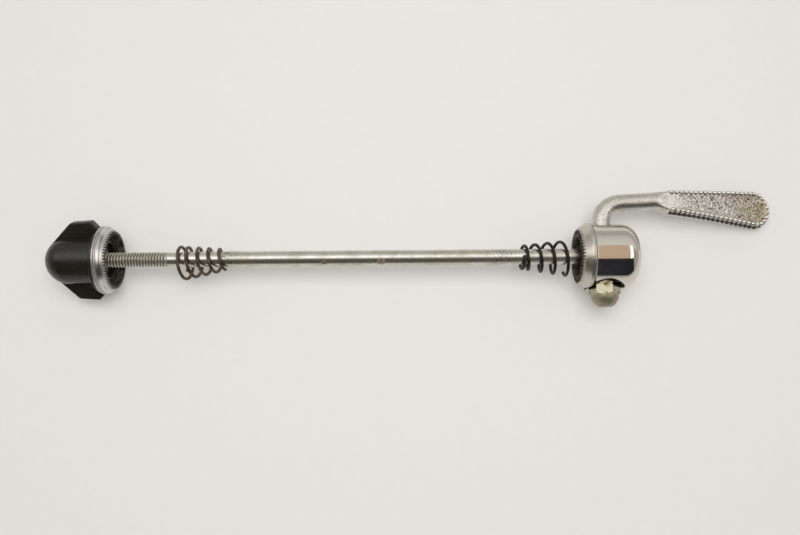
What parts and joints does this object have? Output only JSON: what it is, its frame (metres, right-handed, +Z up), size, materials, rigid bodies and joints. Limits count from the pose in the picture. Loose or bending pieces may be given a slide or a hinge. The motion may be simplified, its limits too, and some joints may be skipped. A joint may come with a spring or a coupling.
{
  "type": "quick release skewer",
  "caption": "Bicycle wheel skewer: steel rod with a cam head and beaded lever at one end, a winged adjusting nut at the other and conical centring springs between.",
  "frame": {"origin": "on the rod's axis, in the plane of the cam head's serrated clamping face", "axes": "+X along the rod from the adjusting nut towards the cam head; +Y towards the lever's arm; +Z up as the skewer lies on a table"},
  "size_m": [0.2363, 0.039, 0.0217],
  "materials": {
    "rod_steel": "plated and drawn, tarnished",
    "chrome": "polished chrome plate",
    "black_plastic": "moulded, glossy",
    "insert_steel": "turned, dull",
    "spring_steel": "black oxide wire",
    "lever_steel": "forged and plated, worn",
    "zinc_plate": "yellowish zinc plate"
  },
  "bodies": {
    "rod": {"skewer_rod": "rod_steel"},
    "head": {"cam_housing": "chrome"},
    "lever": {"lever": "lever_steel", "acorn_nut": "zinc_plate"},
    "ring": {"nut_ring": "chrome"},
    "nut": {"nut_body": "black_plastic", "nut_insert": "insert_steel"},
    "nut_spring": {"left_spring": "spring_steel"},
    "head_spring": {"right_spring": "spring_steel"}
  },
  "joints": [
    {"name": "head_draw", "type": "slide", "parent": "rod", "child": "head", "axis": [1, 0, 0], "range_m": [-0.001, 0.001]},
    {"name": "lever_pivot", "type": "hinge", "parent": "head", "child": "lever", "pos_m": [0.0082, 0, 0], "axis": [0, 1, 0], "range_deg": [-90, 90]},
    {"name": "nut_travel", "type": "slide", "parent": "rod", "child": "ring", "axis": [1, 0, 0], "range_m": [-0.00282, 0.0094]},
    {"name": "nut_spin", "type": "hinge", "parent": "ring", "child": "nut", "pos_m": [-0.1474, 0, 0], "axis": [1, 0, 0], "range_deg": [-1080, 3600]},
    {"name": "nut_spring_slide", "type": "slide", "parent": "rod", "child": "nut_spring", "axis": [1, 0, 0], "range_m": [-0.009, 0.046]},
    {"name": "head_spring_slide", "type": "slide", "parent": "rod", "child": "head_spring", "axis": [1, 0, 0], "range_m": [-0.045, 0.001]}
  ],
  "couplings": [
    {"joint": "head_draw", "follows": "lever_pivot", "m_per_rad": -0.00063662},
    {"joint": "nut_travel", "follows": "nut_spin", "m_per_rad": 0.00014961}
  ]
}
